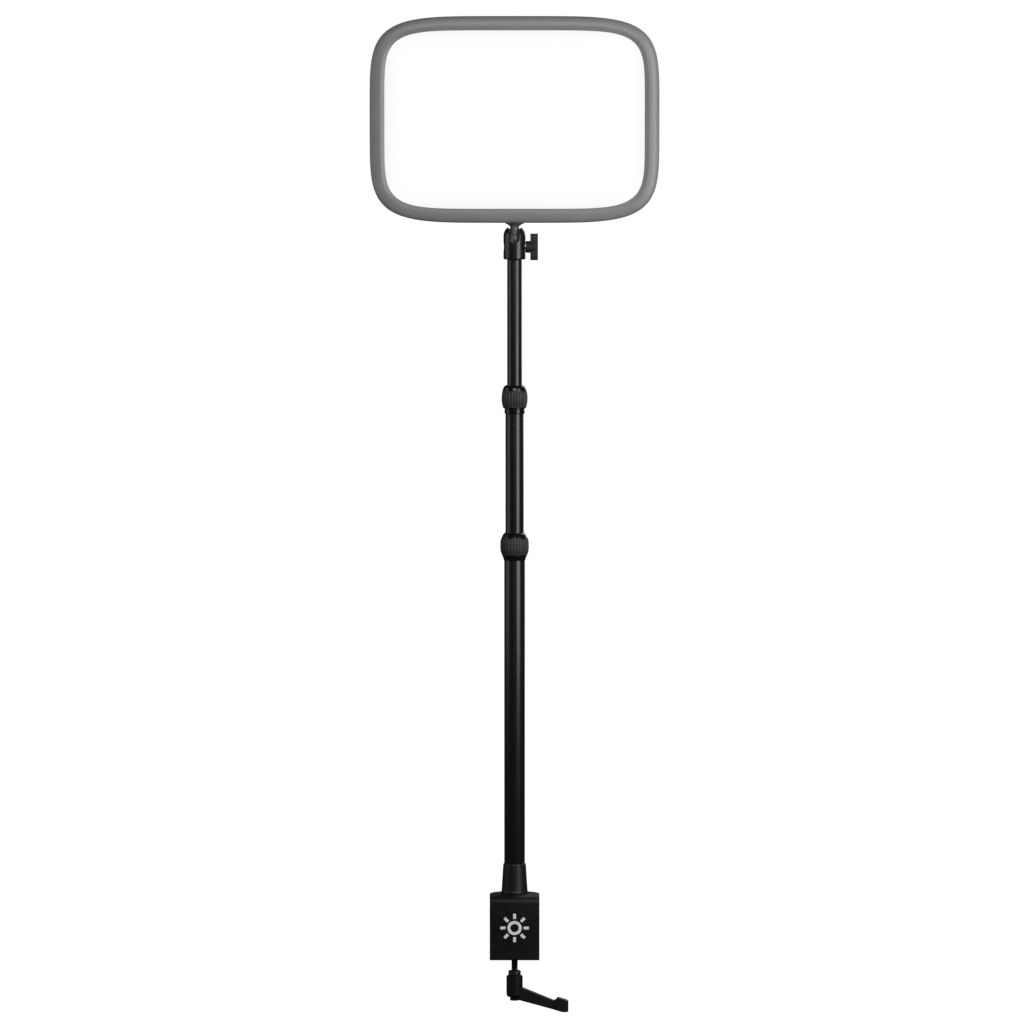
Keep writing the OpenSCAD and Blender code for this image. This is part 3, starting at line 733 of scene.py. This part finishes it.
def jaw_pad():
    """The rubber pad under the top plate, with grooves across it."""
    lo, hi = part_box("jaw_pad")
    w, h, t = hi[0], hi[1], hi[2] - lo[2]
    out = rounded([(-w, -h), (w, -h), (w, h), (-w, h)], 8 * MM, 10)
    o = prism("upper_jaw_pad", out, t, at(0, 0, lo[2]))
    grooves, pitch, width, depth, past = 8, 3.6 * MM, 1.2 * MM, 0.7 * MM, 10 * MM
    cutters = []
    for i in range(grooves):
        y = (i - 3.67) * pitch
        groove = [(-w - past, y), (w + past, y), (w + past, y + width), (-w - past, y + width)]
        cutters.append(prism("c", groove, depth, at(0, 0, lo[2] - 0.1 * MM)))
    cut(o, [joined("c", cutters)])
    place(o, "clamp", "pad_rubber", "black_rubber", "jaw_pad", smooth=40)


jaw_pad()


def spindle():
    """The clamp screw: a rod with a helical thread, a plain foot, and a tip grooved for its circlip."""
    lo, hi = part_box("clamp_spindle")
    r, pitch, depth = (hi[0] - lo[0]) / 2, 1.25 * MM, 0.5 * MM
    z0, z1 = LEVER_Z + 5.2 * MM, -23.6 * MM         # where the thread begins and ends
    groove_low, groove_high, chamfer = -19.8 * MM, -18.9 * MM, -16.6 * MM
    segs, rows_per_turn, overlap = 40, 8, 0.3 * MM
    rows = int((z1 - z0) / pitch * rows_per_turn)
    verts, faces = [], []
    for k in range(rows + 1):
        z = z0 + (z1 - z0) * k / rows
        end = min(1.0, (z - z0) / (1.5 * pitch), (z1 - z) / (1.5 * pitch))
        for i in range(segs):
            a = TAU * i / segs
            phase = ((z - z0) / pitch - a / TAU) % 1.0
            v = abs(phase - 0.5) * 2                # 1 in the groove, 0 on the crest
            v = min(1.0, max(0.0, (v - 0.12) / 0.76))
            q = r - depth * v * end
            verts.append((q * math.cos(a), q * math.sin(a), z))
    for k in range(rows):
        for i in range(segs):
            j = (i + 1) % segs
            faces.append((k * segs + i, k * segs + j, (k + 1) * segs + j, (k + 1) * segs + i))
    faces.append(tuple(range(segs - 1, -1, -1)))
    faces.append(tuple(rows * segs + i for i in range(segs)))
    rod = loose("rod", flat_mesh("rod", verts, faces))
    foot = lathe("foot", [(0, lo[2]), (3.6 * MM, lo[2]), (r, lo[2] + 0.4 * MM), (r, z0 + overlap),
                          (0, z0 + overlap)], 48)
    tip = lathe("tip", [(0, z1 - overlap), (r, z1 - overlap), (r, groove_low), (3.3 * MM, groove_low),
                        (3.3 * MM, groove_high), (r, groove_high), (r, chamfer), (3.6 * MM, hi[2]),
                        (0, hi[2])], 48)
    o = joined("clamp_screw_rod", [rod, foot, tip])
    place(o, "clamp_screw", "dark_steel", "dark_steel", "clamp_spindle", smooth=40)


spindle()


def lever():
    """The clamp lever: a hollow hub and an arm that slopes down to its thumb end."""
    t = LEVER_Z
    hub = lathe("hub", mm([(0, 0.1), (9.1, 0.1), (9.9, -0.7), (9.9, -23.4), (8.6, -25.7), (5.5, -26.6),
                           (5.5, -30.1), (5.1, -30.5), (0, -30.5)], t), 96)
    side = mm([(0, -14), (8, -14.2), (9.9, -14.9), (48.9, -30.8), (52.5, -26.8), (63.7, -30.1), (65.2, -31.6),
               (65.2, -43.2), (64.2, -44.2), (58, -44.2), (6.5, -29.9), (0, -29)], t)
    side_r = [r * MM for r in (0, 0, 1.5, 3, 1.5, 1, 1, 1, 1, 3, 0, 0)]
    half_width, deep = 7 * MM, 50 * MM
    arm = prism("arm", rounded(side, side_r, 4), 2 * half_width, at(0, half_width, 0, TO_XZ))
    plan = mm([(0, -5.6), (10, -5.6), (46, -4.8), (52, -6.8), (65.4, -6.8), (65.4, 6.8), (52, 6.8), (46, 4.8),
               (10, 5.6), (0, 5.6)])
    plan_r = [r * MM for r in (0, 4, 8, 6, 3.7, 3.7, 6, 8, 4, 0)]
    cut(arm, [prism("c", rounded(plan, plan_r, 6), 40 * MM, at(0, 0, t - deep))], "INTERSECT")
    cut(hub, [arm], "UNION")
    cast(hub, 0.32 * MM, 4)
    socket = [(0, -14.6), (6.1, -14.6), (6.1, -4.4), (7.3, -4.4), (7.65, -0.2), (7.65, 1), (0, 1)]
    screw_hole = [(0, -32), (4, -32), (4, -17), (2.3, -17), (2.3, -10), (0, -10)]
    for hole in (socket, screw_hole):
        cut(hub, [lathe("c", mm(hole, t), 48)])
    hub.name = "clamp_lever_arm"
    lo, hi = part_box("clamp_lever")
    for v in hub.data.vertices:
        v.co.z = max(lo[2], min(hi[2], v.co.z))
        v.co.x = min(hi[0], v.co.x)
    place(hub, "clamp_lever", "cast_black", "powder_black", "clamp_lever", smooth=45)


lever()


def lever_collar():
    """The toothed insert's plain collar, which shows above the lever's hub."""
    prof = mm([(4, 6), (7.1, 6), (7.55, 5.5), (7.55, 1.0), (6.9, 0.0), (7.1, -0.1), (7.1, -4), (6, -4),
               (6, -14), (2, -14), (2, -10), (4, -10)], LEVER_Z)
    o = lathe("lever_ratchet_insert", rounded(prof, 0.15 * MM, 2), 96)
    place(o, "clamp_screw", "dark_steel", "dark_steel", "lever_insert")


lever_collar()


def lever_spring():
    """A coil spring with closed end turns, drawn at its free length; pulling the lever down would shorten it.
    """
    lo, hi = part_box("lever_spring")
    wire, turns, closed, per, sides = 0.38 * MM, 4.5, 0.75, 32, 10      # wire is its radius
    mean, free, travel = hi[0] - wire, hi[2] - lo[2], 4.5 * MM
    climb = (free - 2 * wire * (1 + 2 * closed)) / (turns - 2 * closed)
    count = int(turns * per)
    verts, faces = [], []
    for k in range(count + 1):
        t = k / per
        low, high = min(t, closed), max(t - turns + closed, 0)
        z = lo[2] + wire + 2 * wire * (low + high) + climb * (t - low - high)
        for i in range(sides):
            r, rise = mean + wire * math.cos(TAU * i / sides), wire * math.sin(TAU * i / sides)
            verts.append((r * math.cos(TAU * t), r * math.sin(TAU * t), z + rise))
    for k in range(count):
        for i in range(sides):
            a, b = k * sides + i, k * sides + (i + 1) % sides
            faces.append((a, b, b + sides, a + sides))
    faces.append(tuple(range(sides - 1, -1, -1)))
    faces.append(tuple(range(count * sides, (count + 1) * sides)))
    o = loose("lever_coil_spring", flat_mesh("lever_coil_spring", verts, faces))
    place(o, "clamp_screw", "steel", "zinc_steel", "lever_spring", smooth=50)
    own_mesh(o)


lever_spring()

# ---------------------------------------------------------------- ball head


def neck_cutters():
    """The notch that lets the neck roll, lean back and tip right forward."""
    neck, roll, lean = 5.3 * MM, math.radians(6), math.radians(10)
    half = (neck + 0.4 * MM) / math.cos(roll)
    rise, past = 20 * MM, 1 * MM
    side = half + rise * math.tan(roll)
    back = (neck + 0.7 * MM) / math.cos(lean)
    front_view = [(-half, 0), (half, 0), (side, rise), (-side, rise)]
    back_top = back + rise * math.tan(lean)
    side_view = [(-rise, -past), (back, -past), (back, 0), (back_top, rise), (-rise, rise)]
    wedge = prism("c", front_view, 2 * rise, at(0, rise, BALL_Z, TO_XZ))
    cut(wedge, [prism("c", side_view, 41 * MM, at(-20.5 * MM, 0, BALL_Z, TO_YZ))], "INTERSECT")
    bottom = prism("c", circle(neck + 0.45 * MM, 64), rise, at(0, 0, BALL_Z, TO_XZ))
    return [bottom, wedge]


def ball_cutter():
    """The ball's space above, and the wider space for its cup below."""
    ball_r, cup_r, step = 8.1, 9.8, 2.0
    low = arc(cup_r, -math.pi / 2, math.asin(step / cup_r), 24)
    high = arc(ball_r, math.asin(step / ball_r), math.pi / 2, 16)
    low[0], high[-1] = (0, -cup_r), (0, ball_r)
    return lathe("c", mm(low + high, BALL_Z), 96, closed=False)


def head_housing():
    """The housing: a round body with a domed top, its notch, slit and bores, and softened edges."""
    z0, r = HEAD_LO[2], HEAD_HI[0]
    dome_z, dome_h = BALL_Z + 3 * MM, 9.9 * MM      # the dome is cut flat at dome_h
    prof = [(0, z0), (r - 1.4 * MM, z0), (r - 0.3 * MM, z0 + 0.5 * MM), (r, z0 + 1.5 * MM), (r, dome_z)]
    prof += arc(r, 0, math.asin(dome_h / r), 24, dome_z)[1:]
    prof.append((0, dome_z + dome_h))
    o = lathe("ball_housing", prof, 128, closed=False)
    half, down, reach = 0.5 * MM, 17 * MM, 20 * MM
    slit = prism("c", [(-half, -down), (half, -down), (half, 0), (-half, 0)], 2 * reach,
                 at(0, 40.3 * MM, BALL_Z, TO_XZ))
    bore = prism("c", circle(2.15 * MM, 32), 2 * reach, at(-reach, 0, KNOB_Z, TO_YZ))
    nut_seat = prism("c", circle(4.7 * MM, 48), 10.4 * MM, at(-reach, 0, KNOB_Z, TO_YZ))
    knob_seat = prism("c", circle(7.3 * MM, 48), 8 * MM, at(12.6 * MM, 0, KNOB_Z, TO_YZ))
    stud_hole = prism("c", circle(3.1 * MM, 32), 10.5 * MM, at(0, 0, z0 - 0.5 * MM))
    cut(o, [slit, bore, nut_seat, knob_seat, stud_hole] + neck_cutters() + [ball_cutter()])
    cast(o, 0.2 * MM, 3, 0.35)
    for v in o.data.vertices:
        v.co.z = min(HEAD_HI[2], v.co.z)
    place(o, "head", "head_black", "anodised_black", "head_housing", smooth=50)


def ball_stem():
    """The ball, its neck, and the flange that the panel stands on."""
    ball_r, neck_r = 7.8 * MM, 5.3 * MM
    prof = arc(ball_r, -math.pi / 2, math.acos(neck_r / ball_r), 40, BALL_Z)
    flare = [(5.3, 6.2), (5.3, 12.6), (5.6, 14.2), (6.6, 15.5), (8.5, 16.7), (10.2, 17.6), (11.2, 17.9)]
    prof += spline(mm(flare, BALL_Z), 5)
    prof += mm([(11.4, 18.05), (11.4, 18.2), (11.3, 18.3), (0, 18.3)], BALL_Z)
    o = lathe("ball_and_neck", prof, 128, closed=False)
    place(o, "panel", "stem_grey", "anodised_black", "ball_stem", smooth=40)


def side_knob():
    """The knob: a round hub, and a flat wing that is a little wider at its ends."""
    prof = [(0, 13.3), (6.7, 13.3), (7.1, 13.7), (7.1, 19.4), (5.6, 20.2), (5.6, 24), (0, 24)]
    hub = lathe("hub", mm(prof), 96)
    turn = Matrix(((0, 0, 1, 0), (0, 1, 0, 0), (-1, 0, 0, 0), (0, 0, 0, 1)))    # from Z to X
    hub.data.transform(at(0, 0, KNOB_Z) @ turn)
    outline, steps, half = [], 64, 16 * MM
    for k in range(steps):
        c, s = math.cos(TAU * k / steps), math.sin(TAU * k / steps)
        z = math.copysign(abs(s) ** 0.55, s) * half
        wide = 3.5 * MM + 1.0 * MM * (abs(z) / half) ** 2
        outline.append((math.copysign(abs(c) ** 0.6, c) * wide, z))
    cut(hub, [prism("wing", outline, 9.25 * MM, at(18.9 * MM, 0, KNOB_Z, TO_YZ))], "UNION")
    cast(hub, 0.24 * MM, 3, 0.5)
    for v in hub.data.vertices:
        v.co.x = max(KNOB_LO[0], min(KNOB_HI[0], v.co.x))
    hub.name = "side_wing_knob"
    place(hub, "side_knob", "knob_black", "black_plastic", "wing_knob", smooth=50)


head_housing()
ball_stem()
side_knob()

# ---------------------------------------------------------------- carried-over nodes

KEPT = {
    "steel": ["clamp_nut", "mast_bolt", "pad_circlip", "lever_screw", "knob_spindle",
              "knob_washer", "stem_stud", "spreader_screws", "dc_pin"],
    "dark_steel": ["cross_nut", "rear_screws"],
    "aluminium": ["mast_plug", "mast_top_stud", "mount_block", "heat_spreader"],
    "brass": ["board_standoffs"],
    "gloss_black": ["lower_ferrule", "power_rocker", "pair_button"],
    "soft_black": ["dc_jack", "switch_frame", "pan_washer"],
    "powder_black": ["press_pad"],
    "pad_rubber": ["press_pad_rubber", "stem_pad", "diffuser_gasket"],
    "white_acetal": ["lower_collet", "upper_collet", "middle_guide", "upper_guide", "ball_seat"],
    "white_print": ["badge_mark"],
    "acrylic": ["light_guide"],
    "film_white": ["reflector_sheet", "led_strips"],
    "emitter": ["led_chips"],
    "board": ["driver_board"],
    "chip_black": ["board_components"],
}
# how far the edges are rounded, in millimetres
EDGES = {
    "press_pad": 0.5, "press_pad_rubber": 0.5, "power_rocker": 0.4, "pair_button": 0.4,
    "mount_block": 0.4, "switch_frame": 0.3, "clamp_nut": 0.3, "board_components": 0.3,
    "dc_jack": 0.25, "cross_nut": 0.25, "rear_screws": 0.2, "stem_pad": 0.15, "badge_mark": 0.08,
}


def dress_kept_nodes():
    """Gives the nodes whose shape is right their materials and softened edges."""
    for material, nodes in KEPT.items():
        for name in nodes:
            o = NODES[name]
            for slot in o.material_slots:
                slot.material = MAT[material]
            if name in EDGES:
                modify(o, "BEVEL", width=EDGES[name] * MM, segments=2, limit_method="ANGLE",
                       angle_limit=math.radians(40))


dress_kept_nodes()

# ---------------------------------------------------------------- stage, lights, camera


def floor():
    """A plain white floor, which takes no part in the object's light."""
    side, far, z = 40, 60, -0.75
    corners = [(-side, -side, z), (side, -side, z), (side, far, z), (-side, far, z)]
    me = flat_mesh("floor", corners, [(0, 1, 2, 3)])
    o = loose("studio_floor", me)
    m = Nodes("floor_white")
    m.put(Roughness=0.9, Specular_IOR_Level=0.0, Emission_Strength=1.0)
    m.put(Base_Color=(*grey(0.82), 1), Emission_Color=(*grey(1), 1))
    me.materials.append(m.mat)
    o.visible_diffuse = False
    o.visible_glossy = False


def softbox(name, place_at, look_at, width, height, power):
    data = bpy.data.lights.new(name, "AREA")
    data.shape = "RECTANGLE"
    data.size, data.size_y, data.energy = width, height, power
    o = bpy.data.objects.new(name, data)
    o.location = place_at
    o.rotation_euler = (Vector(look_at) - Vector(place_at)).to_track_quat("-Z", "Y").to_euler()
    bpy.context.scene.collection.objects.link(o)


def white_world():
    """White where the camera sees it, and only a dim light on the object."""
    world = bpy.data.worlds.new("studio")
    bpy.context.scene.world = world
    world.use_nodes = True
    tree = world.node_tree
    tree.nodes.clear()
    out = tree.nodes.new("ShaderNodeOutputWorld")
    mixer = tree.nodes.new("ShaderNodeMixShader")
    path = tree.nodes.new("ShaderNodeLightPath")
    tree.links.new(path.outputs["Is Camera Ray"], mixer.inputs[0])
    for socket, strength in ((1, 0.05), (2, 1.0)):
        background = tree.nodes.new("ShaderNodeBackground")
        background.inputs["Color"].default_value = (1, 1, 1, 1)
        background.inputs["Strength"].default_value = strength
        tree.links.new(background.outputs[0], mixer.inputs[socket])
    tree.links.new(mixer.outputs[0], out.inputs["Surface"])


def camera():
    """A long lens in front of the object, looking slightly down at its middle."""
    data = bpy.data.cameras.new("camera")
    data.sensor_width = 36
    data.sensor_fit = "HORIZONTAL"
    data.lens = 261.6
    data.clip_end = 200
    o = bpy.data.objects.new("camera", data)
    bpy.context.scene.collection.objects.link(o)
    aim, distance, down = Vector((-0.0013, 0, 0.4695)), 9, math.radians(4)
    o.location = aim + Vector((0, -distance * math.cos(down), distance * math.sin(down)))
    o.rotation_euler = (aim - o.location).to_track_quat("-Z", "Y").to_euler()
    bpy.context.scene.camera = o


floor()
softbox("key_right", (1.04, -1.08, 0.85), (0, 0, 0.85), 0.75, 1.2, 16.5)
softbox("fill_left", (-1.49, -0.18, 0.85), (0, 0, 0.85), 1.1, 1.2, 4.6)
softbox("top_front", (0.0, -2.6, 2.05), (0, 0, 0.6), 1.6, 0.5, 24.0)
softbox("back_rim", (0.9, 1.6, 1.3), (0, 0, 0.6), 1.2, 1.6, 13.0)
white_world()
camera()
bpy.context.scene.view_settings.view_transform = "Standard"
